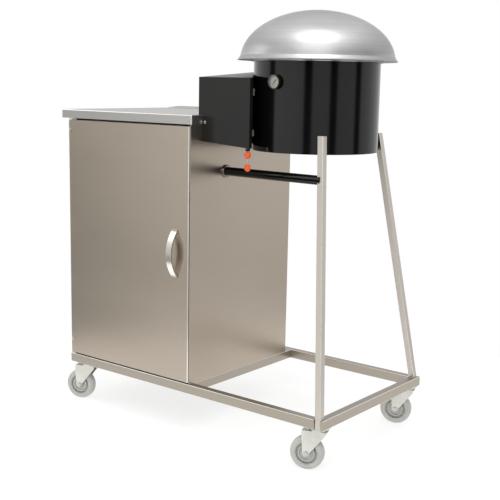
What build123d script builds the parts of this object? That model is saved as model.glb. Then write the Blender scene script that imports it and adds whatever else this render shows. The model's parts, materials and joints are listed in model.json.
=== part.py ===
from build123d import *
import math
import os

# Driving dimensions, in mm. The working frame has its origin under the base's front left
# corner, on the floor: X to the right, Y to the back, Z up. Everything is moved to the
# middle of the footprint when it is written.

FLOOR_TO_FRAME = 128      # height of a caster, floor to the underside of the base

# base
BASE_LENGTH = 1042
BASE_DEPTH = 563
RAIL_HEIGHT = 30
RAIL_WIDTH = 25
TUBE_WALL = 2
LEG_SIZE = 20
LEG_WALL = 1.5
TUBE_EDGE = 2             # outer corner radius of rails and legs
LEG_FOOT = (1027, 10)     # centre of the front leg where it meets the base
LEG_HEAD = (925, 129)     # centre of its upper end, beside the drum
LEG_LENGTH_UP = 813       # height of that end over the base's underside

# casters
WHEEL_RADIUS = 50
TYRE_WIDTH = 30
TYRE_INNER = 34
TYRE_EDGE = 10
CASTER_TRAIL = 30
CASTER_LEFT = 57          # pivot from the left end
CASTER_RIGHT = 32         # pivot from the right end
CASTER_SIDE = 30          # pivot from the front and from the back
CASTER_TURN = 20          # degrees the forks stand turned from the length of the base
KINGPIN_RADIUS = 6
AXLE_RADIUS = 5
FORK_PLATE = 2.5
FORK_GAP = 35             # inside width of a fork
FORK_TOP = FLOOR_TO_FRAME - 8.5
CHEEK_END = 10            # radius of a cheek's lower end
HUB_BOSS = 9.5
RUNNING = 0.05            # radial play of a running fit

# cabinet
CAB_WIDTH = 543
CAB_BACK = 505
CAB_FRONT = 22            # front edge of the carcass, behind the door
SHEET = 2
LIP_UNDER = 832           # heights over the base's underside
TOP_SURFACE = 860
TOP_LEFT = -31
TOP_RIGHT = 545.3
TOP_EDGE = 3              # radius of the worktop's folded edges
UPSTAND = 8
UPSTAND_SLOPE = 60        # length of its clipped left end
FLANGE_TOP = 799          # top of the flanges behind the door
SIDE_SCREW = (30, FLOOR_TO_FRAME + 743)
SCREW_HOLE = 2.6

# door
DOOR_RIGHT = 537.3
DOOR_THICK = 20
DOOR_LOW = 35
DOOR_HIGH = 826
DOOR_SHEET = 1.5
DOOR_EDGE = 4             # radius of the folds down the door's front
DOOR_SCREWS = (82, 792)
HINGE_X = 9.5
HINGE_Y = 10.5
HINGE_PIN = 4
HANDLE_X = 481.5
HANDLE_LOW = 362.5
HANDLE_HIGH = 510.5
HANDLE_WIDTH = 22
HANDLE_PAD = 12           # half the width of a pad
HANDLE_FEET = (HANDLE_LOW + 6, HANDLE_HIGH - 6)
HANDLE_THICK = 5
HANDLE_OUT = 27           # door face to the middle of the bow

# drum, kettle and lid
DRUM_X = 796
DRUM_Y = BASE_DEPTH / 2
DRUM_RADIUS = 189.5
DRUM_WALL = 2
DRUM_LOW = 759
DRUM_HIGH = 1022
FLANGE_RADIUS = 196
FLANGE_THICK = 2
KETTLE_RADIUS = 176
KETTLE_FLOOR = 850
KETTLE_WALL = 2
KETTLE_RIM = 192
KETTLE_CORNER = 22
SHAFT_RADIUS = 8
SLEEVE_RADIUS = 12
BLADE_REACH = 148
DOME_RADIUS = 231.5
DOME_RISE = 149
DOME_RIM = 239.5
DOME_LEVEL = DRUM_HIGH + 2.3
DOME_SLOPE_END = 5.5      # degrees up the ellipse where the flared band begins
ROLL_RADIUS = 1.9
SEAT_RADIUS = 234.5
SEAT_INNER = 180
DOME_WALL = 1.5

# drive housing
HOUSE_FRONT = 53
HOUSE_RIGHT = 722
HOUSE_LEFT = 527
HOUSE_BACK = 400
HOUSE_LOW_LEFT = 781
HOUSE_LOW_RIGHT = 769
HOUSE_HIGH = 972
HOUSE_SLOPE = 4.1         # rise of the lid towards the back, degrees
HOUSE_WALL = 1.5
HOUSE_SCREWS = ((552, 838),)
LUG_LEVELS = (808, 930.5) # lugs between the housing and the drum
CHAIN_LEVEL = 793
MOTOR_X = 573.5
MOTOR_Y = 281.5
SMALL_SPROCKET = 22
LARGE_SPROCKET = 44
MOTOR_SHAFT = 5
TOOTH_GAP = 2.2

# brace tube and thermometer
BRACE_RADIUS = 13.5
BRACE_Y = 166
BRACE_LEVEL = 684.5
BRACE_RISE = 5            # its end at the leg is this much higher
TUBE_FLANGE = 20          # radius of the ring round its foot
GAUGE_TURN = 3.2          # degrees from the front, towards the cabinet
GAUGE_LEVEL = 961.5
GAUGE_RADIUS = 21
GAUGE_DEPTH = 13          # front of its case, off the drum's wall
DIAL_DEPTH = 5

# pull switch under the housing
PULL_X = 712
PULL_Y = 60
PULL_TOP = 768.5
PULL_ROD = 1.5
BEAD_RADIUS = 11
BEAD_DROPS = (19, 56)

F = FLOOR_TO_FRAME
SHIFT = Vector(-(TOP_LEFT + BASE_LENGTH) / 2, (HANDLE_OUT + HANDLE_THICK / 2 - BASE_DEPTH) / 2, 0)


def block(x0, x1, y0, y1, z0, z1):
    """Box between two corners; z is measured from the base's underside."""
    return Pos((x0 + x1) / 2, (y0 + y1) / 2, F + (z0 + z1) / 2) * Box(x1 - x0, y1 - y0, z1 - z0)


def post(x, y, r, z0, z1):
    """Upright round bar."""
    return Pos(x, y, F + z0) * Cylinder(r, z1 - z0, align=(Align.CENTER, Align.CENTER, Align.MIN))


def rod(start, end, r):
    """Round bar between two points of the working frame."""
    a, b = Vector(*start), Vector(*end)
    return Plane(origin=a, z_dir=b - a) * Cylinder(
        r, (b - a).length, align=(Align.CENTER, Align.CENTER, Align.MIN))


def write(name, *solids):
    moved = [Pos(*SHIFT) * s for s in solids]
    export_step(moved[0] if len(moved) == 1 else Compound(children=moved), f"parts/{name}.step")


def dome_screw(tip, out, r=5, shank=2.4, length=8):
    """Round-headed screw: head against the face at tip, shank going the other way."""
    place = Plane(origin=tip, z_dir=out)
    head = Cylinder(r, 1.2, align=(Align.CENTER, Align.CENTER, Align.MIN))
    head += Pos(0, 0, 1.2) * Cone(r, r * 0.45, 1.6, align=(Align.CENTER, Align.CENTER, Align.MIN))
    head -= Pos(0, 0, 2) * Box(r * 1.1, 1, 2)
    return place * (head + Cylinder(shank, length, align=(Align.CENTER, Align.CENTER, Align.MAX)))


# ---------------------------------------------------------------- base and legs

def leg(front=True, grow=0.0, left=None, back=None, low=0.0, edge=0.0):
    """Leaning square leg. left and back widen it on one side, to cope the rails round it."""
    half = LEG_SIZE / 2 + grow

    def section(z):
        t = z / LEG_LENGTH_UP
        x = LEG_FOOT[0] + (LEG_HEAD[0] - LEG_FOOT[0]) * t
        y = LEG_FOOT[1] + (LEG_HEAD[1] - LEG_FOOT[1]) * t
        x1 = x + (half if left is None else left)
        y0 = y - (half if back is None else back)
        wide = half + (half if left is None else left)
        deep = half + (half if back is None else back)
        flat = RectangleRounded(wide, deep, edge) if edge else Rectangle(wide, deep)
        return Pos((x - half + x1) / 2, (y0 + y + half) / 2, F + z) * flat

    solid = loft([section(low), section(LEG_LENGTH_UP)])
    return solid if front else mirror(solid, Plane.XZ.offset(-DRUM_Y))


def leg_tube(front):
    """Square tube with a closed upper end, coped round the drum."""
    bar = leg(front, edge=TUBE_EDGE)
    cap = bar & block(LEG_HEAD[0] - 40, LEG_HEAD[0] + 40, 0, BASE_DEPTH, LEG_LENGTH_UP - 3, LEG_LENGTH_UP)
    tube = bar - leg(front, grow=-LEG_WALL) + cap
    return biggest(tube - post(DRUM_X, DRUM_Y, DRUM_RADIUS + 0.3, DRUM_LOW - 0.3, DRUM_HIGH))


def biggest(shape):
    return max(shape.solids(), key=lambda s: s.volume)


def long_rail(front):
    """Front or back rail, cut off along the leg it meets."""
    y0 = 0 if front else BASE_DEPTH - RAIL_WIDTH
    rail = block(0, BASE_LENGTH, y0, y0 + RAIL_WIDTH, 0, RAIL_HEIGHT)
    rail = fillet(rail.edges().filter_by(Axis.X), TUBE_EDGE)
    rail -= block(TUBE_WALL, LEG_FOOT[0] - 22, y0 + TUBE_WALL, y0 + RAIL_WIDTH - TUBE_WALL,
                  TUBE_WALL, RAIL_HEIGHT - TUBE_WALL)
    cutter = leg(front, grow=0.3, left=80, back=60, low=-4)
    return biggest(rail - cutter - cutter.moved(Location((0, 40 if front else -40, 0))))


def side_rail(x0):
    """Rail from front to back, with welded-up ends."""
    y0, y1 = RAIL_WIDTH + 0.2, BASE_DEPTH - RAIL_WIDTH - 0.2
    rail = block(x0, x0 + RAIL_WIDTH, y0, y1, 0, RAIL_HEIGHT)
    return fillet(rail.edges().filter_by(Axis.Y), TUBE_EDGE) - block(
        x0 + TUBE_WALL, x0 + RAIL_WIDTH - TUBE_WALL, y0 + TUBE_WALL, y1 - TUBE_WALL,
        TUBE_WALL, RAIL_HEIGHT - TUBE_WALL)


def end_rail():
    """Right rail; its outer side runs on past both legs to the corners."""
    x0 = BASE_LENGTH - RAIL_WIDTH
    rail = block(x0, BASE_LENGTH, 0, BASE_DEPTH, 0, RAIL_HEIGHT)
    rail = fillet(rail.edges().filter_by(Axis.Y), TUBE_EDGE)
    core = block(x0 + TUBE_WALL, BASE_LENGTH - TUBE_WALL, 30, BASE_DEPTH - 30,
                 TUBE_WALL, RAIL_HEIGHT - TUBE_WALL)
    for front in (True, False):
        for dx in (0, -20):
            rail -= leg(front, grow=0.3, back=60, low=-4).moved(Location((dx, 0, 0)))
    return biggest(rail - core)


def brace():
    """Tube from the cabinet's wall to the front leg, and the ring round its foot."""
    t = BRACE_LEVEL / LEG_LENGTH_UP
    leg_x = LEG_FOOT[0] + (LEG_HEAD[0] - LEG_FOOT[0]) * t
    leg_y = LEG_FOOT[1] + (LEG_HEAD[1] - LEG_FOOT[1]) * t
    start = (CAB_WIDTH - 12, BRACE_Y + 1.7, F + BRACE_LEVEL)
    end = (leg_x, leg_y, F + BRACE_LEVEL + BRACE_RISE)
    whole = rod(start, end, BRACE_RADIUS)
    bore = rod(start, (leg_x - 20, leg_y + 3, end[2]), BRACE_RADIUS - TUBE_WALL)
    wall = block(400, CAB_WIDTH + 0.3, 0, BASE_DEPTH, BRACE_LEVEL - 40, BRACE_LEVEL + 40)
    tube = biggest(whole - leg(True, grow=0.3, left=60) - wall - bore)
    ring = rod((CAB_WIDTH + 0.3, BRACE_Y, start[2]), (CAB_WIDTH + 6.3, BRACE_Y, start[2]), TUBE_FLANGE)
    ring = fillet(ring.edges().filter_by(GeomType.CIRCLE).sort_by(Axis.X)[-1], 2.5)
    return tube, ring - rod(start, end, BRACE_RADIUS + 0.3)


# ---------------------------------------------------------------- casters

def caster_spots():
    x = (CASTER_LEFT, BASE_LENGTH - CASTER_RIGHT)
    y = (CASTER_SIDE, BASE_DEPTH - CASTER_SIDE)
    return {"front_left": (x[0], y[0]), "front_right": (x[1], y[0]),
            "back_left": (x[0], y[1]), "back_right": (x[1], y[1])}


def turned(x, y):
    """Place of a caster's fork and wheel, worked out about its pivot."""
    return Pos(x, y, 0) * Rot(0, 0, CASTER_TURN)


def caster_plate(x, y):
    """Welded plate with the upper race and the kingpin on it."""
    top = Pos(0, 0, F - 1.7) * Box(60, 42, 3)
    race = Pos(0, 0, F - 5.7) * Cylinder(24, 5)
    pin = Pos(0, 0, F - 12) * Cylinder(KINGPIN_RADIUS, 7.8)
    nut = Pos(0, 0, F - 15.6) * extrude(RegularPolygon(10, 6), 3.6)
    return Pos(x, y, 0) * (top + race + pin + nut)


def fork(x, y):
    """Pressed crown with two cheeks that narrow down to the axle."""
    high, low, end = FORK_TOP, WHEEL_RADIUS + 2, CHEEK_END
    crown = Pos(-7.5, 0, high - 1.5) * Box(73, FORK_GAP + 2 * FORK_PLATE, 3)
    crown = fillet(crown.edges().filter_by(Axis.Z), 8)
    crown -= Pos(0, 0, high) * Cylinder(KINGPIN_RADIUS + RUNNING, 10)
    side = Polyline((-44, high - 2), (26, high - 2), (26, high - 9), (-CASTER_TRAIL + end, low),
                    (-CASTER_TRAIL - end, low), (-44, high - 20), close=True)
    cheek = make_face(side) + Pos(-CASTER_TRAIL, low) * Circle(end)
    cheek -= Pos(-CASTER_TRAIL, WHEEL_RADIUS) * Circle(AXLE_RADIUS + 0.2)
    plates = []
    for y0 in (-FORK_GAP / 2, FORK_GAP / 2 + FORK_PLATE):
        upright = Plane(origin=(0, y0, 0), x_dir=(1, 0, 0), z_dir=(0, -1, 0))
        plates.append(extrude(upright * cheek, FORK_PLATE))
    return turned(x, y) * (crown + plates[0] + plates[1])


def axle(x, y):
    """Bolt through both cheeks with a hexagon at each end."""
    half = FORK_GAP / 2 + FORK_PLATE
    centre = -CASTER_TRAIL
    bolt = rod((centre, -half - 3.5, WHEEL_RADIUS), (centre, half + 4.5, WHEEL_RADIUS), AXLE_RADIUS)
    for start in (-half - 4.2, half + 0.2):
        hexagon = Plane(origin=(centre, start, WHEEL_RADIUS), z_dir=(0, 1, 0)) * RegularPolygon(7.5, 6)
        bolt += extrude(hexagon, 4)
    return turned(x, y) * bolt


def tyre(x, y):
    profile = Rectangle(TYRE_WIDTH, WHEEL_RADIUS - TYRE_INNER, align=(Align.CENTER, Align.MIN))
    profile = fillet(profile.vertices().group_by(Axis.Y)[-1], TYRE_EDGE)
    ring = revolve(Pos(0, TYRE_INNER) * profile, Axis.X)
    return turned(x, y) * Pos(-CASTER_TRAIL, 0, WHEEL_RADIUS) * Rot(0, 0, 90) * ring


def hub(x, y):
    """Moulded wheel centre: two grooves in each face round a boss on the axle."""
    r = TYRE_INNER - 0.2
    disc = Cylinder(r, TYRE_WIDTH - 2) - Cylinder(AXLE_RADIUS + RUNNING, TYRE_WIDTH)
    for z in (-1, 1):
        disc -= Pos(0, 0, z * 14) * (Cylinder(r - 2, 14) - Cylinder(25, 14))
        disc -= Pos(0, 0, z * 16) * (Cylinder(21, 10) - Cylinder(11, 10))
        disc += Pos(0, 0, z * 15.4) * (Cylinder(HUB_BOSS, 3.4) - Cylinder(AXLE_RADIUS + RUNNING, 4))
    return turned(x, y) * Pos(-CASTER_TRAIL, 0, WHEEL_RADIUS) * Rot(90, 0, 0) * disc


# ---------------------------------------------------------------- cabinet

def side_panel(right):
    x0 = CAB_WIDTH - SHEET if right else 0
    y0 = 0.5 if right else CAB_FRONT
    panel = block(x0, x0 + SHEET, y0, CAB_BACK, RAIL_HEIGHT + 0.2, TOP_SURFACE - SHEET - 0.3)
    panel -= block(x0 - 1, x0 + 3, 0, SHEET + 0.3, LIP_UNDER - 0.3, TOP_SURFACE)
    if not right:
        panel -= rod((-1, *SIDE_SCREW), (4, *SIDE_SCREW), SCREW_HOLE)
    inner = x0 - 14 if right else x0 + SHEET
    return panel + block(inner, inner + 14, CAB_FRONT + 1, CAB_FRONT + 1 + SHEET, RAIL_HEIGHT + 3, FLANGE_TOP)


def worktop():
    """Folded sheet with a lip all round, cut out for the housing, and an upstand at the back."""
    x0, x1, y1 = TOP_LEFT, TOP_RIGHT, CAB_BACK + SHEET + 0.3
    top = block(x0, x1, 0, y1, LIP_UNDER, TOP_SURFACE)
    top = fillet(top.edges().filter_by(Axis.Z), TOP_EDGE)
    top = fillet(top.edges().group_by(Axis.Z)[-1], TOP_EDGE)
    top -= block(x0 + SHEET, x1 - SHEET, SHEET, y1 - SHEET, LIP_UNDER - 1, TOP_SURFACE - SHEET)
    top -= block(HOUSE_LEFT - 0.3, x1 + 1, HOUSE_FRONT - 0.3, HOUSE_BACK + 0.3,
                 LIP_UNDER - 1, TOP_SURFACE + 1)
    foot, low, high = F + TOP_SURFACE - 6, F + TOP_SURFACE + 0.5, F + TOP_SURFACE + UPSTAND
    start, end = x0 + TOP_EDGE, x1 - TOP_EDGE
    strip = make_face(Polyline((start, foot), (end, foot), (end, high), (start + UPSTAND_SLOPE, high),
                               (start, low), close=True))
    return top + extrude(Plane(origin=(0, y1, 0), x_dir=(1, 0, 0), z_dir=(0, -1, 0)) * strip, SHEET)


def front_stretcher():
    x0, x1, y0 = SHEET + 0.3, CAB_WIDTH - SHEET - 0.3, CAB_FRONT
    upright = block(x0, x1, y0, y0 + SHEET, 800, 826.5)
    return upright + block(x0, x1, y0, y0 + 20, 824.5, 826.5)


def pivot_bracket(top):
    """Plate fixed to the carcass with the pin the door turns on."""
    if top:
        plate = block(2.3, 38, 3, CAB_FRONT + 18, 827.3, 830.3)
        return plate + post(HINGE_X, HINGE_Y, HINGE_PIN, 802, 828)
    plate = block(1, 20, 2, CAB_FRONT - 0.3, RAIL_HEIGHT + 0.2, RAIL_HEIGHT + 3.2)
    return plate + post(HINGE_X, HINGE_Y, HINGE_PIN, RAIL_HEIGHT + 2, 62)


# ---------------------------------------------------------------- door

def door_skin():
    pan = block(0.5, DOOR_RIGHT, 0, DOOR_THICK, DOOR_LOW, DOOR_HIGH)
    upright = pan.edges().filter_by(Axis.Z)
    pan = fillet(upright.sort_by(Axis.X)[:2].sort_by(Axis.Y)[-1], 6)
    pan = fillet(pan.edges().filter_by(Axis.Z).group_by(Axis.Y)[0], DOOR_EDGE)
    room = block(0.5 + DOOR_SHEET, DOOR_RIGHT - DOOR_SHEET, DOOR_SHEET, DOOR_THICK - 6,
                 DOOR_LOW + DOOR_SHEET, DOOR_HIGH - DOOR_SHEET)
    pan -= fillet(room.edges().filter_by(Axis.Z).group_by(Axis.Y)[0], DOOR_EDGE - DOOR_SHEET)
    pan -= block(6.5, DOOR_RIGHT - DOOR_SHEET, DOOR_THICK - 7, DOOR_THICK + 1,
                 DOOR_LOW + DOOR_SHEET, DOOR_HIGH - DOOR_SHEET)
    pan -= post(HINGE_X, HINGE_Y, HINGE_PIN + RUNNING, DOOR_LOW - 2, DOOR_LOW + 3)
    pan -= post(HINGE_X, HINGE_Y, HINGE_PIN + RUNNING, DOOR_HIGH - 3, DOOR_HIGH + 2)
    for x, levels in ((HINGE_X, DOOR_SCREWS), (HANDLE_X, HANDLE_FEET)):
        for z in levels:
            pan -= rod((x, -1, F + z), (x, 4, F + z), SCREW_HOLE)
    return pan


def hinge_block(top):
    """Bush inside the door that turns on the pin."""
    z0, z1 = (776, DOOR_HIGH - DOOR_SHEET - 0.2) if top else (DOOR_LOW + DOOR_SHEET + 0.2, 96)
    body = block(2.3, 17, DOOR_SHEET + 0.2, 13.8, z0, z1)
    corner = body.edges().filter_by(Axis.Z).group_by(Axis.Y)[0].sort_by(Axis.X)[0]
    body = fillet(corner, DOOR_EDGE - DOOR_SHEET)
    body += block(6.8, 17, 13, 17.6, z0, z1)
    body -= post(HINGE_X, HINGE_Y, HINGE_PIN + RUNNING, 800, 830) if top else \
        post(HINGE_X, HINGE_Y, HINGE_PIN + RUNNING, 30, 64)
    z = DOOR_SCREWS[1] if top else DOOR_SCREWS[0]
    return body - rod((HINGE_X, 0, F + z), (HINGE_X, 12, F + z), SCREW_HOLE)


def handle():
    """Flat strip bent to a bow, with a small pad at each end."""
    mid = (HANDLE_LOW + HANDLE_HIGH) / 2
    half = (HANDLE_HIGH - HANDLE_LOW) / 2
    path = ThreePointArc((0, -half + 3), (-HANDLE_OUT, 0), (0, half - 3))
    centre = path.arc_center
    r = path.radius
    ring = Pos(centre.X, centre.Y) * (Circle(r + HANDLE_THICK / 2) - Circle(r - HANDLE_THICK / 2))
    ring &= Pos(-50, 0) * Rectangle(100, 2 * half + 20)
    strip = extrude(Plane(origin=(HANDLE_X, 0, F + mid), x_dir=(0, 1, 0), z_dir=(1, 0, 0)) * ring,
                    HANDLE_WIDTH / 2, both=True)
    strip &= block(HANDLE_X - 20, HANDLE_X + 20, -60, -0.2, HANDLE_LOW - 20, HANDLE_HIGH + 20)
    for z in HANDLE_FEET:
        strip += block(HANDLE_X - HANDLE_PAD, HANDLE_X + HANDLE_PAD, -4.5, -0.2, z - 6, z + 6)
        strip -= rod((HANDLE_X, 1, F + z), (HANDLE_X, -3, F + z), SCREW_HOLE)
    return strip


def handle_screw(z):
    head = rod((HANDLE_X, DOOR_SHEET + 0.2, F + z), (HANDLE_X, 4.5, F + z), 5)
    return head + rod((HANDLE_X, -2.6, F + z), (HANDLE_X, 3, F + z), 2.4)


# ---------------------------------------------------------------- drive housing

def plan(shrink=0.0):
    """Outline of the housing: wide in front of the drum, narrow beside it."""
    s = shrink
    return make_face(Polyline(
        (CAB_WIDTH + 0.3, HOUSE_FRONT + s), (HOUSE_RIGHT - s, HOUSE_FRONT + s),
        (HOUSE_RIGHT - s, HOUSE_FRONT + 14 - s * 0.5), (650 - 1.3 * s, 156), (614 - s, 214),
        (605 - s, 245), (605 - s, HOUSE_BACK - s), (CAB_WIDTH + 0.3, HOUSE_BACK - s), close=True))


def step_plan(shrink=0.0):
    """The part that stands on the worktop's edge."""
    s = shrink
    return make_face(Polyline((HOUSE_LEFT + s, HOUSE_FRONT + s), (560, HOUSE_FRONT + s),
                              (560, HOUSE_BACK - s), (HOUSE_LEFT + s, HOUSE_BACK - s), close=True))


def lid_cut():
    """Everything above the sloping lid."""
    above = Pos(0, 440, 100) * Box(600, 900, 200)
    return Pos(630, HOUSE_FRONT, F + HOUSE_HIGH) * Rot(HOUSE_SLOPE, 0, 0) * above


def floor_cut():
    """Everything under the sloping floor."""
    fall = math.degrees(math.atan((HOUSE_LOW_LEFT - HOUSE_LOW_RIGHT) / (HOUSE_RIGHT - CAB_WIDTH)))
    return Pos(CAB_WIDTH, 250, F + HOUSE_LOW_LEFT) * Rot(0, fall, 0) * Pos(0, 0, -100) * Box(600, 900, 200)


def house_solid(s, low_extra):
    """Solid housing, s in from its walls; it hooks over the cabinet's right wall."""
    tall = extrude(Pos(0, 0, F + 700) * plan(s), 400)
    step = extrude(Pos(0, 0, F + TOP_SURFACE - SHEET + s) * step_plan(s), 240)
    return (tall + step) - lid_cut().moved(Location((0, 0, -s))) \
        - floor_cut().moved(Location((0, 0, low_extra)))


def housing():
    """Folded shell, open underneath, with a slot for the chain."""
    shell = house_solid(0, 0) - house_solid(HOUSE_WALL, -5) - chain_slot()
    for x, z in HOUSE_SCREWS:
        shell -= rod((x, HOUSE_FRONT - 2, F + z), (x, HOUSE_FRONT + 4, F + z), SCREW_HOLE)
    return biggest(shell)


def housing_floor():
    inside = extrude(Pos(0, 0, F + 700) * plan(HOUSE_WALL + 0.3), 120)
    plate = inside & floor_cut().moved(Location((0, 0, HOUSE_WALL + 0.3)))
    return biggest(plate - floor_cut().moved(Location((0, 0, 0.3))))


def chain_slot():
    return block(590, 640, MOTOR_Y - 56, MOTOR_Y + 56, CHAIN_LEVEL - 6, CHAIN_LEVEL + 6)


def standoff(z):
    """Lug between the housing's rear corner and the drum."""
    lug = Pos(654.7, 149.2, F + z) * Rot(0, 0, -38) * Box(9, 8, 20)
    gap = post(DRUM_X, DRUM_Y, DRUM_RADIUS + 0.3, z - 30, z + 30)
    body = extrude(Pos(0, 0, F + z - 40) * plan(-0.3), 80)
    return biggest(lug - gap - body)


# ---------------------------------------------------------------- drive

def gearmotor():
    can = post(MOTOR_X, MOTOR_Y, 22, 850, 920)
    box = post(MOTOR_X, MOTOR_Y, 26, 803, 850)
    flange = block(546, 601, MOTOR_Y - 30, MOTOR_Y + 30, 800, 804)
    return can + box + flange - post(MOTOR_X, MOTOR_Y, MOTOR_SHAFT + RUNNING, 790, 822)


def sprocket(x, r, teeth):
    """Plain-toothed chain wheel."""
    wheel = post(x, MOTOR_Y, r, CHAIN_LEVEL - 2, CHAIN_LEVEL + 2)
    for i in range(teeth):
        a = 2 * math.pi * (i + 0.5) / teeth
        wheel -= post(x + r * math.cos(a), MOTOR_Y + r * math.sin(a), TOOTH_GAP,
                      CHAIN_LEVEL - 3, CHAIN_LEVEL + 3)
    return wheel


def drive_sprocket():
    return sprocket(MOTOR_X, SMALL_SPROCKET, 18) + post(MOTOR_X, MOTOR_Y, MOTOR_SHAFT, CHAIN_LEVEL - 3, 820)


def chain():
    """Plain loop round both sprockets."""
    def loop(extra):
        a = Pos(MOTOR_X, MOTOR_Y) * Circle(SMALL_SPROCKET + extra)
        b = Pos(DRUM_X, DRUM_Y) * Circle(LARGE_SPROCKET + extra)
        return make_face(make_hull(a.edges() + b.edges()))
    return extrude(Pos(0, 0, F + CHAIN_LEVEL - 3) * (loop(5) - loop(0.4)), 6)


def stirrer_shaft():
    """Upright shaft with its chain wheel and the square that drives the stirrer."""
    shaft = post(DRUM_X, DRUM_Y, SHAFT_RADIUS, DRUM_LOW + 4.5, 912) + sprocket(DRUM_X, LARGE_SPROCKET, 36)
    return shaft + post(DRUM_X, DRUM_Y, 16, CHAIN_LEVEL - 8, CHAIN_LEVEL + 8)


def stirrer():
    """Cap on the shaft with two arms and a scraper under each."""
    arm_level = KETTLE_FLOOR + 56
    body = post(DRUM_X, DRUM_Y, 22, arm_level - 10, arm_level + 14)
    body -= post(DRUM_X, DRUM_Y, SHAFT_RADIUS + 0.02, KETTLE_FLOOR + 30, KETTLE_FLOOR + 62.4)
    for side in (-1, 1):
        root = DRUM_X + side * 18
        blade = DRUM_X + side * 32
        tip = DRUM_X + side * BLADE_REACH
        body += rod((root, DRUM_Y, F + arm_level), (tip, DRUM_Y, F + arm_level), 5)
        body += post(tip, DRUM_Y, 5, KETTLE_FLOOR + 12, arm_level)
        body += block(min(tip, blade), max(tip, blade), DRUM_Y - 1.5, DRUM_Y + 1.5,
                      KETTLE_FLOOR + 5, KETTLE_FLOOR + 26)
    return body


def bearing():
    """Flanged bearing on the drum's floor."""
    flange = post(DRUM_X, DRUM_Y, 30, DRUM_LOW + 2.3, DRUM_LOW + 8)
    return flange + post(DRUM_X, DRUM_Y, 16, DRUM_LOW + 2.3, DRUM_LOW + 24) \
        - post(DRUM_X, DRUM_Y, SHAFT_RADIUS + RUNNING, DRUM_LOW, DRUM_LOW + 30)


# ---------------------------------------------------------------- drum, kettle and lid

def drum_shell():
    """Rolled wall with a thin turned-out flange at the top."""
    flange = post(DRUM_X, DRUM_Y, FLANGE_RADIUS, DRUM_HIGH - FLANGE_THICK, DRUM_HIGH)
    flange = fillet(flange.edges().filter_by(GeomType.CIRCLE), 0.8)
    tube = post(DRUM_X, DRUM_Y, DRUM_RADIUS, DRUM_LOW, DRUM_HIGH - 0.5) + flange
    tube -= post(DRUM_X, DRUM_Y, DRUM_RADIUS - DRUM_WALL, DRUM_LOW - 1, DRUM_HIGH + 1)
    return tube - chain_slot() - gauge_place() * Cylinder(4.5, 40)


def drum_floor():
    plate = post(DRUM_X, DRUM_Y, DRUM_RADIUS - DRUM_WALL - 0.2, DRUM_LOW, DRUM_LOW + DRUM_WALL)
    return plate - post(DRUM_X, DRUM_Y, SLEEVE_RADIUS, DRUM_LOW - 1, DRUM_LOW + 4)


def kettle():
    """Pan with a turned-out rim and a sleeve for the stirrer's shaft."""
    w = KETTLE_WALL
    pan = post(DRUM_X, DRUM_Y, KETTLE_RADIUS, KETTLE_FLOOR - w, DRUM_HIGH + 1.2)
    pan = fillet(pan.edges().group_by(Axis.Z)[0], KETTLE_CORNER)
    room = post(DRUM_X, DRUM_Y, KETTLE_RADIUS - w, KETTLE_FLOOR, DRUM_HIGH + 10)
    room = fillet(room.edges().group_by(Axis.Z)[0], KETTLE_CORNER - w)
    rim = post(DRUM_X, DRUM_Y, KETTLE_RIM, DRUM_HIGH + 0.2, DRUM_HIGH + 2)
    sleeve = post(DRUM_X, DRUM_Y, SLEEVE_RADIUS, KETTLE_FLOOR - w, KETTLE_FLOOR + 42)
    bore = post(DRUM_X, DRUM_Y, SHAFT_RADIUS + 0.6, KETTLE_FLOOR - 5, KETTLE_FLOOR + 45)
    return (pan + rim) - room + sleeve - bore


def heater_ring():
    """Tubular heating element under the kettle."""
    return Pos(DRUM_X, DRUM_Y, F + KETTLE_FLOOR - KETTLE_WALL - 5.6) * Torus(105, 5)


def dome():
    """Spun lid: half an ellipse over a short flared band with a rolled edge."""
    def outline(out, steps=14):
        points = [(0, DOME_RISE + out)]
        for i in range(1, steps + 1):
            a = math.radians(90 - (90 - DOME_SLOPE_END) * i / steps)
            points.append(((DOME_RADIUS + out) * math.cos(a), (DOME_RISE + out) * math.sin(a)))
        return points

    outer = outline(0)
    inner = outline(-DOME_WALL)
    rim_out = (DOME_RIM - 1.5, 1.6)
    rim_in = (rim_out[0] - DOME_WALL, rim_out[1])
    edge = [Spline(*outer), Line(outer[-1], rim_out), Line(rim_out, rim_in),
            Line(rim_in, inner[-1]), Spline(*inner[::-1]), Line(inner[0], outer[0])]
    shell = revolve(Plane.XZ * make_face(edge), Axis.Z)
    roll = Pos(0, 0, ROLL_RADIUS) * Torus(DOME_RIM - ROLL_RADIUS, ROLL_RADIUS)
    return Pos(DRUM_X, DRUM_Y, F + DOME_LEVEL) * (shell + roll)


def dome_seat():
    """Ring inside the lid's edge that it stands on."""
    ring = post(DRUM_X, DRUM_Y, SEAT_RADIUS, DOME_LEVEL + 2.2, DOME_LEVEL + 3.7)
    ring += post(DRUM_X, DRUM_Y, FLANGE_RADIUS, DOME_LEVEL, DOME_LEVEL + 3)
    return ring - post(DRUM_X, DRUM_Y, SEAT_INNER, DOME_LEVEL - 2, DOME_LEVEL + 6)


# ---------------------------------------------------------------- thermometer

def gauge_place():
    """Plane on the drum's wall, its Z pointing outwards."""
    a = math.radians(GAUGE_TURN)
    out = Vector(-math.sin(a), -math.cos(a), 0)
    foot = Vector(DRUM_X, DRUM_Y, F + GAUGE_LEVEL) + out * DRUM_RADIUS
    return Plane(origin=foot, x_dir=(math.cos(a), -math.sin(a), 0), z_dir=out)


def lying(r, z0, z1):
    return Pos(0, 0, z0) * Cylinder(r, z1 - z0, align=(Align.CENTER, Align.CENTER, Align.MIN))


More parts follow.
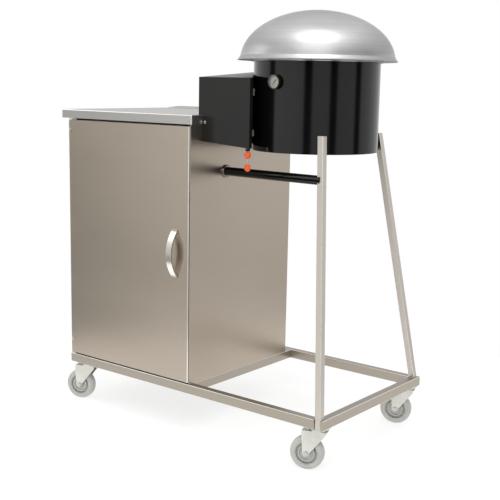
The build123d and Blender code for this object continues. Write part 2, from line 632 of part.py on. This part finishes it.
def gauge_case():
    """Round case on a short neck that passes through the drum's wall."""
    case = lying(GAUGE_RADIUS, 3, GAUGE_DEPTH) + lying(12, 1.5, 4) + lying(4, -7, 3)
    case = fillet(case.edges().filter_by(GeomType.CIRCLE).group_by(Axis.Z)[-1], 1.5)
    return gauge_place() * (case - lying(GAUGE_RADIUS - 2.5, DIAL_DEPTH - 0.2, GAUGE_DEPTH + 2))


def gauge_dial():
    return gauge_place() * (lying(GAUGE_RADIUS - 2.8, DIAL_DEPTH, DIAL_DEPTH + 1)
                            - lying(1.3, DIAL_DEPTH - 1, DIAL_DEPTH + 3))


def gauge_needle():
    """Pointer with a broad tail, on a pin that turns in the dial."""
    level = DIAL_DEPTH + 2.2
    pin = lying(1.1, DIAL_DEPTH + 0.2, level + 1) + lying(2.4, level - 0.5, level + 0.6)
    pointer = Pos(0, 3.5, level) * Box(1.4, 17, 0.6)
    tail = Pos(0, -6.4, level) * Box(3.4, 4.6, 0.6)
    return gauge_place() * Rot(0, 0, 140) * (pin + pointer + tail)


def gauge_glass():
    return gauge_place() * lying(GAUGE_RADIUS - 2.8, GAUGE_DEPTH - 3, GAUGE_DEPTH - 1.2)


# ---------------------------------------------------------------- pull switch

def pull_switch():
    """Small switch body under the housing, with a socket for the pull's stem."""
    body = post(PULL_X, PULL_Y, 7, PULL_TOP - 7, PULL_TOP)
    return body - post(PULL_X, PULL_Y, PULL_ROD + RUNNING, PULL_TOP - 9, PULL_TOP - 1.5)


def pull_stem():
    """Thin rod with a steel ball half way down."""
    stem = post(PULL_X, PULL_Y, PULL_ROD, PULL_TOP - 66, PULL_TOP - 3)
    return stem + Pos(PULL_X, PULL_Y, F + PULL_TOP - 37.5) * Sphere(3)


def pull_bead(drop):
    """Flat round bead, its face to the front, threaded on the stem."""
    bead = Cylinder(BEAD_RADIUS, 7)
    bead = fillet(bead.edges().filter_by(GeomType.CIRCLE), 2.5)
    bead = Pos(PULL_X, PULL_Y, F + PULL_TOP - drop) * Rot(90, 0, -GAUGE_TURN) * bead
    return bead - post(PULL_X, PULL_Y, PULL_ROD, PULL_TOP - 168, PULL_TOP + 32)


# ---------------------------------------------------------------- write the parts

os.makedirs("parts", exist_ok=True)

write("long_rails", long_rail(True), long_rail(False))
write("cross_rails", side_rail(0), side_rail(CAB_WIDTH - RAIL_WIDTH))
write("right_rail", end_rail())
write("front_leg", leg_tube(True))
write("back_leg", leg_tube(False))
brace_tube, tube_ring = brace()
write("brace_tube", brace_tube)
write("tube_flange", tube_ring)

spots = caster_spots()
write("caster_plates", *[caster_plate(*spot) for spot in spots.values()])
for corner, spot in spots.items():
    write("fork_" + corner, fork(*spot))
    write("axle_" + corner, axle(*spot))
    write("tyre_" + corner, tyre(*spot))
    write("hub_" + corner, hub(*spot))

write("left_side", side_panel(False))
write("right_side", side_panel(True))
write("cabinet_back", block(SHEET + 0.2, CAB_WIDTH - SHEET - 0.2, CAB_BACK - SHEET, CAB_BACK,
                            RAIL_HEIGHT + 0.2, TOP_SURFACE - SHEET - 0.3))
write("cabinet_floor", block(SHEET + 0.2, CAB_WIDTH - SHEET - 0.2, CAB_FRONT + 4, CAB_BACK - SHEET - 0.2,
                             RAIL_HEIGHT + 0.2, RAIL_HEIGHT + 0.2 + SHEET))
write("front_stretcher", front_stretcher())
write("worktop", worktop())
write("pivot_brackets", pivot_bracket(False), pivot_bracket(True))
write("cover_screws",
      dome_screw((0, *SIDE_SCREW), (-1, 0, 0)),
      *[dome_screw((x, HOUSE_FRONT, F + z), (0, -1, 0)) for x, z in HOUSE_SCREWS])

write("door_skin", door_skin())
write("door_back", block(7, DOOR_RIGHT - DOOR_SHEET - 0.3, DOOR_THICK - 1.7, DOOR_THICK - 0.2,
                         DOOR_LOW + DOOR_SHEET + 0.3, DOOR_HIGH - DOOR_SHEET - 0.3))
write("hinge_blocks", hinge_block(False), hinge_block(True))
write("door_screws", *[dome_screw((HINGE_X, 0, F + z), (0, -1, 0)) for z in DOOR_SCREWS],
      *[handle_screw(z) for z in HANDLE_FEET])
write("handle", handle())

write("housing", housing())
write("housing_floor", housing_floor())
write("drum_standoffs", *[standoff(z) for z in LUG_LEVELS])
write("gearmotor", gearmotor())
write("drive_sprocket", drive_sprocket())
write("chain", chain())
write("stirrer_shaft", stirrer_shaft())
write("stirrer", stirrer())
write("bearing", bearing())

write("drum_shell", drum_shell())
write("drum_floor", drum_floor())
write("kettle", kettle())
write("heater_ring", heater_ring())
write("dome", dome())
write("dome_seat", dome_seat())

write("gauge_case", gauge_case())
write("gauge_dial", gauge_dial())
write("gauge_needle", gauge_needle())
write("gauge_glass", gauge_glass())

write("pull_switch", pull_switch())
write("pull_stem", pull_stem())
write("pull_beads", *[pull_bead(drop) for drop in BEAD_DROPS])
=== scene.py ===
import bmesh
import bpy
import json
import math
from mathutils import Matrix, Vector


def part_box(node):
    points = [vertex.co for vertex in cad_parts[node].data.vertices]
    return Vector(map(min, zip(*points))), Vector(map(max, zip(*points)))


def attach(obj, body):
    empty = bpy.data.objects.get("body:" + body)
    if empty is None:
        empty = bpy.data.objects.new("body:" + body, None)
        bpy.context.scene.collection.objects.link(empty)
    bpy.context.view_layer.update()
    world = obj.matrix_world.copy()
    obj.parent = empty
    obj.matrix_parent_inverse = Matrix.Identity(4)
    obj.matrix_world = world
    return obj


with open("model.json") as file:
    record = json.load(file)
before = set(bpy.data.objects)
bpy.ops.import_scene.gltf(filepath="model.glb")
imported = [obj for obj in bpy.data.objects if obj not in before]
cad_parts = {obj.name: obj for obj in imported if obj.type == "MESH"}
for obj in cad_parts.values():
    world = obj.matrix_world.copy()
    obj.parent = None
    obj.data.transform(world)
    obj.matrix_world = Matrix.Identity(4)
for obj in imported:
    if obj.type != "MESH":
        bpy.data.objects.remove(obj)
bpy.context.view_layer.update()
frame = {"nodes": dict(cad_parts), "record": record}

# brushed sheet and tube: texture scales across and along the grain, per metre
GRAIN = (1100, 7)
STREAKS = (60, 1.6)
CLOUDS = (5.0, 1.5)
# painted highlight: bright colour mixed into the rounded edges of brushed steel
EDGE_HIGHLIGHT_PAINT = (0.93, 0.91, 0.88, 1.0)
EDGE_POLISH = 0.12              # how much smoother a rounded edge is
FOLD_START, FOLD_END = 0.16, 0.32

# spun dome
RINGS_FINE = 900.0              # per metre
RINGS_BROAD = 60.0
RING_SLOPE = -0.8               # radius that one metre of height counts for

# thermometer's dial, angles in degrees from straight up
DIAL_START, DIAL_END = -125, 125
DIAL_STEP = 10                  # between ticks
DIAL_LONG = 50                  # between long ticks
ARC_STEP = 5
INK_OUT = 0.00062               # from the middle of the dial plate to the back of the marks
INK_RISE = 0.00012

# welds between legs and rails
TUBE_HALF = 0.010               # half of a leg's width
WELD_HALF = 0.008               # half of a bead's length
WELD_RADIUS = 0.0016
WELD_RING = 0.0008              # between the bead's rings
WELD_RIPPLE = 0.0026            # length of one ripple
WELD_SIDES = 8

# studio: grey of the room by compass angle in degrees, and by how far up the direction points
ROOM_AROUND = {-178: 1.1, -152: 1.1, -146: 0.02, -139: 0.02, -133: 1.25, -100: 1.25, -80: 1.15, -75: 0.02,
               -66: 0.02, -60: 1.0, -34: 1.0, -29: 0.03, -21: 0.03, -15: 0.95, 15: 0.95, 21: 0.03, 27: 0.03,
               34: 1.0, 178: 1.0}
ROOM_UP = {-1.0: 0.35, -0.45: 0.35, -0.02: 1.0, 0.10: 1.0, 0.28: 0.66, 0.55: 0.72, 0.85: 1.1, 1.0: 1.05}
PANELS_GONE, PANELS_FULL = 0.80, 0.35
FLOOR_RADIUS = 1.25
FLOOR_SEGMENTS = 96
FLOOR_DROP = 0.0004
FLOOR_GLOW = 0.72
LAMPS = {                       # place, aim, size, watts
    "softbox_camera_side": ((1.9, -2.6, 3.0), (0.1, 0.0, 0.8), (3.0, 2.4), 30),
    "softbox_left": ((-2.8, -1.8, 2.2), (-0.1, 0.0, 0.6), (1.6, 1.8), 12),
    "softbox_top": ((0.75, -0.65, 3.3), (0.29, 0.0, 1.2), (1.6, 1.2), 20),
}
CAMERA_PLACE = (1.9477, -2.4000, 1.0890)
CAMERA_LENS, CAMERA_SENSOR = 69.03, 36.0                        # mm
CAMERA_YAW, CAMERA_DOWN, CAMERA_ROLL = 38.196, 9.964, 1.088     # degrees


# ---------------------------------------------------------------- materials

class Look:
    """One material, with short calls for the nodes that build it."""

    def __init__(self, name, **sockets):
        self.material = bpy.data.materials.new(name)
        self.material.use_nodes = True
        self.tree = self.material.node_tree
        self.shader = self.tree.nodes["Principled BSDF"]
        for socket, value in sockets.items():
            self.shader.inputs[socket.replace("_", " ")].default_value = value

    def node(self, kind, inputs, out=0, **settings):
        """Output of a new node. Inputs are values or other nodes' outputs."""
        n = self.tree.nodes.new("ShaderNode" + kind)
        for key, value in settings.items():
            setattr(n, key, value)
        for key, value in inputs.items():
            if isinstance(value, bpy.types.NodeSocket):
                self.tree.links.new(value, n.inputs[key])
            else:
                n.inputs[key].default_value = value
        return n.outputs[out]

    def coords(self, scale=(1, 1, 1), place=(0, 0, 0)):
        """Object coordinates in metres, scaled and moved."""
        source = self.node("TexCoord", {}, "Object")
        return self.node("Mapping", {"Vector": source, "Scale": scale, "Location": place})

    def noise(self, vector, scale, detail=2.0, rough=0.5):
        return self.node("TexNoise", {"Vector": vector, "Scale": scale, "Detail": detail, "Roughness": rough})

    def spread(self, value, low, high, start=0.0, end=1.0):
        """value's start..end stretched to low..high."""
        return self.node("MapRange", {"Value": value, "From Min": start, "From Max": end,
                                      "To Min": low, "To Max": high})

    def maths(self, operation, a, b=0.0):
        return self.node("Math", {0: a, 1: b}, operation=operation)

    def mix(self, factor, a, b, blend="MIX"):
        return self.node("Mix", {0: factor, 6: a, 7: b}, 2, data_type="RGBA", blend_type=blend)

    def axes(self, vector):
        """x, y and z of a vector."""
        n = self.tree.nodes.new("ShaderNodeSeparateXYZ")
        self.tree.links.new(vector, n.inputs[0])
        return n.outputs

    def folds(self):
        """1 on rounded edges, where the surface faces between two axes, and 0 on the flat faces."""
        x, y, z = self.axes(self.node("TexCoord", {}, "Normal"))
        pairs = [self.maths("ABSOLUTE", self.maths("MULTIPLY", a, b)) for a, b in ((x, y), (y, z), (x, z))]
        most = self.maths("MAXIMUM", self.maths("MAXIMUM", pairs[0], pairs[1]), pairs[2])
        return self.spread(most, 0.0, 1.0, FOLD_START, FOLD_END)

    def bump(self, height, strength, distance, under=None):
        inputs = {"Height": height, "Strength": strength, "Distance": distance}
        if under is not None:
            inputs["Normal"] = under
        return self.node("Bump", inputs)

    def wear(self, **outputs):
        """Links outputs to the shader's sockets and returns the finished material."""
        for socket, value in outputs.items():
            self.tree.links.new(value, self.shader.inputs[socket.replace("_", " ")])
        return self.material


def rgb(r, g, b):
    return (r, g, b, 1.0)


def along(axis, across, lengthwise):
    """Texture scale that is fine across the grain and long down it."""
    return tuple(lengthwise if name == axis else across for name in "xyz")


def brushed(name, axis, dark, light, rough=(0.30, 0.44), lines=0.10):
    """Brushed sheet: fine lines down one axis, soft bands, and a painted highlight on the rounded edges."""
    look = Look(name, Metallic=1.0)
    fine = look.noise(look.coords(along(axis, *GRAIN)), 1.0, 3.0, 0.6)
    streak = look.noise(look.coords(along(axis, *STREAKS)), 1.0, 3.0, 0.55)
    cloud = look.noise(look.coords(along(axis, *CLOUDS)), 1.0, 3.0, 0.5)
    tone = look.maths("ADD", look.spread(streak, -0.12, 0.12), look.spread(cloud, 0.30, 0.70, 0.25, 0.75))
    colour = look.mix(look.maths("ADD", tone, look.spread(fine, -0.14, 0.14)), dark, light)
    gloss = look.maths("ADD", look.spread(fine, *rough), look.spread(cloud, -0.02, 0.02, 0.3, 0.7))
    edge = look.folds()
    # painted highlight: rounded edges are mixed toward a bright colour
    colour = look.mix(edge, colour, EDGE_HIGHLIGHT_PAINT)
    gloss = look.maths("SUBTRACT", gloss, look.maths("MULTIPLY", edge, EDGE_POLISH))
    return look.wear(Base_Color=colour, Roughness=gloss, Normal=look.bump(fine, lines, 0.0004))


def coated(name, dark, light, rough, peel=0.05, grain=900.0, dust=rgb(0.10, 0.10, 0.098)):
    """Baked coating: orange peel, a few rubbed places and a little dust."""
    look = Look(name)
    look.shader.inputs["Specular IOR Level"].default_value = 0.32
    patch = look.noise(look.coords(), 5.0, 4.0, 0.6)
    fleck = look.noise(look.coords(), 210.0, 3.0, 0.7)
    skin = look.noise(look.coords(), grain, 2.0, 0.5)
    colour = look.mix(look.spread(patch, 0.0, 1.0, 0.3, 0.7), dark, light)
    colour = look.mix(look.spread(fleck, 0.0, 0.12, 0.60, 0.80), colour, dust)
    gloss = look.maths("ADD", look.spread(patch, *rough, 0.3, 0.7), look.spread(fleck, -0.03, 0.03))
    return look.wear(Base_Color=colour, Roughness=gloss, Normal=look.bump(skin, peel, 0.0006))


def plated(name, dark, light, rough, cells=260.0):
    """Plated or cast metal: faint crystals, cloudy plating and fine pits."""
    look = Look(name, Metallic=1.0)
    crystal = look.node("TexVoronoi", {"Vector": look.coords(), "Scale": cells}, "Color")
    crystal = look.node("SeparateColor", {0: crystal})
    cloud = look.noise(look.coords(), 22.0, 4.0, 0.6)
    pit = look.noise(look.coords(), 1300.0, 2.0, 0.5)
    tone = look.maths("ADD", look.spread(crystal, -0.15, 0.15), look.spread(cloud, 0.0, 1.0, 0.3, 0.7))
    gloss = look.maths("ADD", look.spread(cloud, *rough, 0.3, 0.7), look.spread(pit, -0.04, 0.04))
    return look.wear(Base_Color=look.mix(tone, dark, light), Roughness=gloss,
                     Normal=look.bump(pit, 0.10, 0.0003))


def moulded(name, dark, light, rough, grain=1500.0, relief=0.12, grime=rgb(0.12, 0.11, 0.10), soil=0.25):
    """Rubber or plastic: mould texture, uneven colour, and grime that gathers in patches."""
    look = Look(name)
    patch = look.noise(look.coords(), 38.0, 4.0, 0.6)
    speck = look.noise(look.coords(), 420.0, 3.0, 0.6)
    skin = look.noise(look.coords(), grain, 3.0, 0.6)
    colour = look.mix(look.spread(patch, 0.0, 1.0, 0.3, 0.7), dark, light)
    colour = look.mix(look.spread(speck, 0.0, soil, 0.58, 0.78), colour, grime)
    gloss = look.maths("ADD", look.spread(patch, *rough, 0.3, 0.7), look.spread(skin, -0.05, 0.05))
    return look.wear(Base_Color=colour, Roughness=gloss, Normal=look.bump(skin, relief, 0.0004))


def spun():
    """Spun aluminium: rings round the dome's axis from the forming roller."""
    look = Look("spun_aluminium", Metallic=1.0, Anisotropic=0.4)
    low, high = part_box("dome")
    centre = (low + high) / 2
    x, y, height = look.axes(look.coords(place=(-centre[0], -centre[1], -low[2])))
    flat = look.node("CombineXYZ", {0: x, 1: y, 2: 0.0})
    radius = look.node("VectorMath", {0: flat}, "Value", operation="LENGTH")
    reach = look.maths("ADD", radius, look.maths("MULTIPLY", height, RING_SLOPE))
    rings, broad = (
        look.node("TexNoise", {"W": look.maths("MULTIPLY", reach, count), "Scale": 1.0, "Detail": detail},
                  noise_dimensions="1D")
        for count, detail in ((RINGS_FINE, 3.0), (RINGS_BROAD, 2.0)))
    cloud = look.noise(look.coords(), 6.0, 4.0, 0.6)
    tone = look.maths("ADD", look.spread(broad, 0.30, 0.70, 0.3, 0.7),
                      look.spread(cloud, -0.22, 0.22, 0.3, 0.7))
    tone = look.maths("ADD", tone, look.spread(rings, -0.18, 0.18))
    colour = look.mix(tone, rgb(0.43, 0.43, 0.43), rgb(0.53, 0.53, 0.53))
    gloss = look.maths("ADD", look.spread(rings, 0.34, 0.44), look.spread(cloud, -0.04, 0.04, 0.3, 0.7))
    normal = look.bump(rings, 0.07, 0.0004, look.bump(broad, 0.05, 0.0016))
    turning = look.node("Tangent", {}, direction_type="RADIAL", axis="Z")
    return look.wear(Base_Color=colour, Roughness=gloss, Normal=normal, Tangent=turning)


def glass():
    """Clear window with faint smears."""
    look = Look("clear_glass", Transmission_Weight=1.0, IOR=1.46)
    smear = look.noise(look.coords(), 160.0, 4.0, 0.6)
    tint = look.mix(look.spread(smear, 0.0, 1.0, 0.3, 0.7), rgb(0.96, 0.98, 0.97), rgb(1.0, 1.0, 1.0))
    return look.wear(Base_Color=tint, Roughness=look.spread(smear, 0.01, 0.07, 0.3, 0.7))


STEEL_DARK = rgb(0.440, 0.380, 0.310)
STEEL_LIGHT = rgb(0.520, 0.455, 0.380)
BAR_DARK = rgb(0.365, 0.325, 0.275)
BAR_LIGHT = rgb(0.440, 0.395, 0.335)
TOP_DARK = rgb(0.47, 0.46, 0.44)
TOP_LIGHT = rgb(0.56, 0.55, 0.53)

sheet_door = brushed("brushed_sheet_door", "x", STEEL_DARK, STEEL_LIGHT, (0.26, 0.36))
sheet_wall = brushed("brushed_sheet_wall", "y", STEEL_DARK, STEEL_LIGHT, (0.28, 0.38))
sheet_x = brushed("brushed_sheet_flat", "x", TOP_DARK, TOP_LIGHT, (0.28, 0.40))
bar_x = brushed("brushed_bar_long", "x", BAR_DARK, BAR_LIGHT, (0.26, 0.36))
bar_y = brushed("brushed_bar_cross", "y", BAR_DARK, BAR_LIGHT, (0.26, 0.36))
bar_z = brushed("brushed_leg", "z", rgb(0.52, 0.48, 0.43), rgb(0.62, 0.58, 0.52), (0.30, 0.42))
grip = brushed("brushed_handle", "z", rgb(0.56, 0.53, 0.48), rgb(0.66, 0.62, 0.57), (0.26, 0.36))
drum_black = coated("black_enamel", rgb(0.003, 0.003, 0.003), rgb(0.005, 0.005, 0.005), (0.10, 0.14), 0.015,
                    dust=rgb(0.03, 0.03, 0.03))
box_black = coated("black_powder_coat", rgb(0.008, 0.0075, 0.007), rgb(0.013, 0.012, 0.011),
                   (0.26, 0.33), 0.06, 1400.0)
zinc = plated("zinc_plate", rgb(0.60, 0.60, 0.54), rgb(0.74, 0.74, 0.69), (0.30, 0.42))
steel = plated("steel_fastener", rgb(0.50, 0.48, 0.45), rgb(0.64, 0.62, 0.59), (0.22, 0.34), 700.0)
bronzed = plated("bronzed_case", rgb(0.10, 0.085, 0.065), rgb(0.17, 0.145, 0.11), (0.22, 0.32), 900.0)
flange_steel = plated("flange_steel", rgb(0.24, 0.215, 0.185), rgb(0.36, 0.325, 0.28), (0.22, 0.32), 900.0)
rubber = moulded("grey_rubber", rgb(0.440, 0.440, 0.415), rgb(0.530, 0.530, 0.500), (0.62, 0.78))
hubs = moulded("grey_plastic", rgb(0.42, 0.42, 0.40), rgb(0.50, 0.50, 0.48), (0.40, 0.52), 1900.0, 0.05,
               soil=0.15)
dial = moulded("dial_face", rgb(0.62, 0.58, 0.50), rgb(0.72, 0.69, 0.61), (0.35, 0.45), 2400.0, 0.03,
               rgb(0.45, 0.40, 0.32), 0.2)
ink = moulded("needle_black", rgb(0.012, 0.012, 0.012), rgb(0.03, 0.03, 0.03), (0.35, 0.5), 2400.0, 0.05,
              soil=0.05)
orange = moulded("orange_plastic", rgb(0.78, 0.085, 0.006), rgb(0.88, 0.125, 0.012), (0.16, 0.26),
                 900.0, 0.04, rgb(0.35, 0.05, 0.01), 0.15)
casting = plated("motor_casting", rgb(0.30, 0.31, 0.32), rgb(0.40, 0.41, 0.42), (0.45, 0.6), 500.0)
sheath = plated("heater_sheath", rgb(0.10, 0.09, 0.08), rgb(0.20, 0.17, 0.15), (0.4, 0.55), 800.0)
aluminium = spun()
clear = glass()

BY_SLOT = {
    "brushed_stainless": sheet_wall, "black_paint": drum_black, "zinc_plate": zinc, "steel_fastener": steel,
    "grey_rubber": rubber, "grey_plastic": hubs, "chrome": bronzed, "dial_face": dial, "needle_black": ink,
    "clear_glass": clear, "motor_casting": casting, "heater_sheath": sheath, "spun_aluminium": aluminium,
    "orange_plastic": orange,
}
BY_NODE = {
    "worktop": sheet_x, "front_stretcher": bar_x, "long_rails": bar_x, "cabinet_floor": sheet_x,
    "cross_rails": bar_y, "right_rail": bar_y, "front_leg": bar_z, "back_leg": bar_z, "handle": grip,
    "housing": box_black, "housing_floor": box_black, "door_skin": sheet_door, "door_back": sheet_door,
    "cabinet_back": sheet_door, "tube_flange": flange_steel,
}

for name, node in frame["nodes"].items():
    for spot in node.material_slots:
        slot_name = spot.material.name.split(".")[0]
        spot.material = BY_NODE.get(name) or BY_SLOT[slot_name]


# ---------------------------------------------------------------- small pieces

def piece(name, build, body, material):
    """Object from a bmesh, riding on a CAD body."""
    mesh = bpy.data.meshes.new(name)
    bmesh.ops.recalc_face_normals(build, faces=build.faces)
    build.to_mesh(mesh)
    build.free()
    mesh.materials.append(material)
    thing = bpy.data.objects.new(name, mesh)
    bpy.context.scene.collection.objects.link(thing)
    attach(thing, body)
    return thing


def dial_marks():
    """Printed ticks and an arc on the thermometer's dial."""
    joint = next(j for j in frame["record"]["behaviour"]["joints"] if j["name"] == "needle_turn")
    out = -Vector(joint["axis"]).normalized()
    low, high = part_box("gauge_dial")
    reach = (high[2] - low[2]) / 2
    centre = (Vector(low) + Vector(high)) / 2 + out * INK_OUT
    side = Vector((0, 0, 1)).cross(out)
    build = bmesh.new()

    def spot(angle, radius, rise):
        turn = math.radians(angle)
        return centre + (side * math.sin(turn) + Vector((0, 0, 1)) * math.cos(turn)) * radius + out * rise

    def patch(start, end, inner, outer):
        """Slightly raised printed patch between two angles and two radii."""
        corners = [build.verts.new(spot(angle, radius, rise)) for rise in (0.0, INK_RISE)
                   for angle, radius in ((start, inner), (end, inner), (end, outer), (start, outer))]
        for ids in ((0, 1, 2, 3), (4, 5, 6, 7), (0, 1, 5, 4), (1, 2, 6, 5), (2, 3, 7, 6), (3, 0, 4, 7)):
            build.faces.new([corners[i] for i in ids])

    for angle in range(DIAL_START, DIAL_END + 1, DIAL_STEP):
        half, inner = (1.6, 0.66) if (angle - DIAL_START) % DIAL_LONG == 0 else (0.8, 0.76)
        patch(angle - half, angle + half, reach * inner, reach * 0.86)
    for angle in range(DIAL_START, DIAL_END, ARC_STEP):
        patch(angle, angle + ARC_STEP, reach * 0.86, reach * 0.89)
    piece("dial_marks", build, "cart", ink)


def weld(name, start, end):
    """Rippled weld bead between two points."""
    length = (end - start).length
    side = (end - start).normalized().orthogonal().normalized()
    up = (end - start).normalized().cross(side)
    build = bmesh.new()
    rings = []
    count = max(8, int(length / WELD_RING))
    for i in range(count + 1):
        t = i / count
        ripple = 1 + 0.16 * math.cos(t * length / WELD_RIPPLE * 2 * math.pi)
        radius = WELD_RADIUS * ripple * min(1.0, 0.25 + 6 * min(t, 1 - t))
        here = start.lerp(end, t)
        rings.append([build.verts.new(here + (side * math.cos(a) + up * math.sin(a)) * radius)
                      for a in (k * 2 * math.pi / WELD_SIDES for k in range(WELD_SIDES))])
    for one, two in zip(rings, rings[1:]):
        for k in range(WELD_SIDES):
            after = (k + 1) % WELD_SIDES
            build.faces.new((one[k], one[after], two[after], two[k]))
    build.faces.new(rings[0])
    build.faces.new(rings[-1])
    mesh = piece(name, build, "cart", steel).data
    mesh.polygons.foreach_set("use_smooth", [True] * len(mesh.polygons))


def leg_welds():
    """Beads along the joints between the base's rails and each leg's foot."""
    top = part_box("long_rails")[1][2]
    for leg, inward in (("front_leg", 1), ("back_leg", -1)):
        low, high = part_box(leg)
        lean = (top - low[2]) / (high[2] - low[2])
        x = high[0] - TUBE_HALF - (high[0] - low[0] - 2 * TUBE_HALF) * lean
        foot = low[1] + TUBE_HALF if inward > 0 else high[1] - TUBE_HALF
        y = foot + inward * (high[1] - low[1] - 2 * TUBE_HALF) * lean
        for side, edge in (("left", x - TUBE_HALF), ("right", x + TUBE_HALF)):
            middle = Vector((edge, y, top))
            reach = Vector((0, WELD_HALF, 0))
            weld(leg + "_weld_" + side, middle - reach, middle + reach)
        middle = Vector((x, y + inward * TUBE_HALF, top))
        reach = Vector((WELD_HALF, 0, 0))
        weld(leg + "_weld_inner", middle - reach, middle + reach)


dial_marks()
leg_welds()


# ---------------------------------------------------------------- studio

def area(name, place, aim, size, power):
    """Rectangular lamp at place, pointed at aim."""
    lamp = bpy.data.lights.new(name, "AREA")
    lamp.shape = "RECTANGLE"
    lamp.size, lamp.size_y = size
    lamp.energy = power
    holder = bpy.data.objects.new(name, lamp)
    bpy.context.scene.collection.objects.link(holder)
    holder.location = place
    holder.rotation_euler = (Vector(aim) - Vector(place)).to_track_quat("-Z", "Y").to_euler()


def studio_world():
    """White room with dark upright gaps between its panels; plain white where it is looked at."""
    world = bpy.data.worlds.new("studio")
    bpy.context.scene.world = world
    world.use_nodes = True
    tree = world.node_tree
    tree.nodes.clear()
    add = tree.nodes.new
    join = tree.links.new

    def stops(value, levels, first, last):
        """Grey levels by position between first and last."""
        ramp = add("ShaderNodeValToRGB")
        ramp.color_ramp.interpolation = "EASE"
        while len(ramp.color_ramp.elements) < len(levels):
            ramp.color_ramp.elements.new(0.5)
        for element, (place, grey) in zip(ramp.color_ramp.elements, levels.items()):
            element.position = (place - first) / (last - first)
            element.color = rgb(grey, grey, grey)
        scaled = add("ShaderNodeMapRange")
        scaled.inputs["From Min"].default_value = first
        scaled.inputs["From Max"].default_value = last
        join(value, scaled.inputs["Value"])
        join(scaled.outputs[0], ramp.inputs[0])
        return ramp.outputs[0]

    split = add("ShaderNodeSeparateXYZ")
    join(add("ShaderNodeTexCoord").outputs["Generated"], split.inputs[0])
    turn = add("ShaderNodeMath")
    turn.operation = "ARCTAN2"
    join(split.outputs[1], turn.inputs[0])
    join(split.outputs[0], turn.inputs[1])
    degrees = add("ShaderNodeMath")
    degrees.operation = "DEGREES"
    join(turn.outputs[0], degrees.inputs[0])
    panels = stops(degrees.outputs[0], ROOM_AROUND, -180, 180)
    heights = stops(split.outputs[2], ROOM_UP, -1, 1)
    both = add("ShaderNodeMix")
    both.data_type = "RGBA"
    both.blend_type = "MULTIPLY"
    steep = add("ShaderNodeMapRange")
    steep.inputs["From Min"].default_value = PANELS_GONE
    steep.inputs["From Max"].default_value = PANELS_FULL
    join(split.outputs[2], steep.inputs["Value"])
    join(steep.outputs[0], both.inputs[0])
    join(heights, both.inputs[6])
    join(panels, both.inputs[7])
    room = add("ShaderNodeBackground")
    join(both.outputs[2], room.inputs["Color"])
    white = add("ShaderNodeBackground")
    white.inputs["Color"].default_value = rgb(1, 1, 1)
    choose = add("ShaderNodeMixShader")
    join(add("ShaderNodeLightPath").outputs["Is Camera Ray"], choose.inputs[0])
    join(room.outputs[0], choose.inputs[1])
    join(white.outputs[0], choose.inputs[2])
    join(choose.outputs[0], add("ShaderNodeOutputWorld").inputs[0])


def studio_floor():
    """Round pale floor."""
    mesh = bpy.data.meshes.new("floor")
    build = bmesh.new()
    bmesh.ops.create_circle(build, cap_ends=True, segments=FLOOR_SEGMENTS, radius=FLOOR_RADIUS)
    build.to_mesh(mesh)
    build.free()
    floor = bpy.data.objects.new("floor", mesh)
    bpy.context.scene.collection.objects.link(floor)
    floor.location = (0, 0, -FLOOR_DROP)
    look = Look("pale_floor", Roughness=0.9)
    look.shader.inputs["Specular IOR Level"].default_value = 0.1
    look.shader.inputs["Emission Color"].default_value = rgb(1, 1, 1)
    look.shader.inputs["Emission Strength"].default_value = FLOOR_GLOW
    mottle = look.noise(look.coords(), 4.0, 3.0)
    look.wear(Base_Color=look.mix(mottle, rgb(0.32, 0.32, 0.32), rgb(0.36, 0.36, 0.36)))
    mesh.materials.append(look.material)


studio_world()
studio_floor()
for lamp_name, lamp_settings in LAMPS.items():
    area(lamp_name, *lamp_settings)

bpy.context.scene.view_settings.view_transform = "Standard"
bpy.context.scene.view_settings.look = "None"

camera = bpy.data.objects.new("camera", bpy.data.cameras.new("camera"))
bpy.context.scene.collection.objects.link(camera)
bpy.context.scene.camera = camera
camera.data.sensor_width = CAMERA_SENSOR
camera.data.lens = CAMERA_LENS
camera.location = CAMERA_PLACE
camera.rotation_euler = (Matrix.Rotation(math.radians(CAMERA_YAW), 3, "Z")
                         @ Matrix.Rotation(math.radians(90 - CAMERA_DOWN), 3, "X")
                         @ Matrix.Rotation(math.radians(CAMERA_ROLL), 3, "Z")).to_euler()
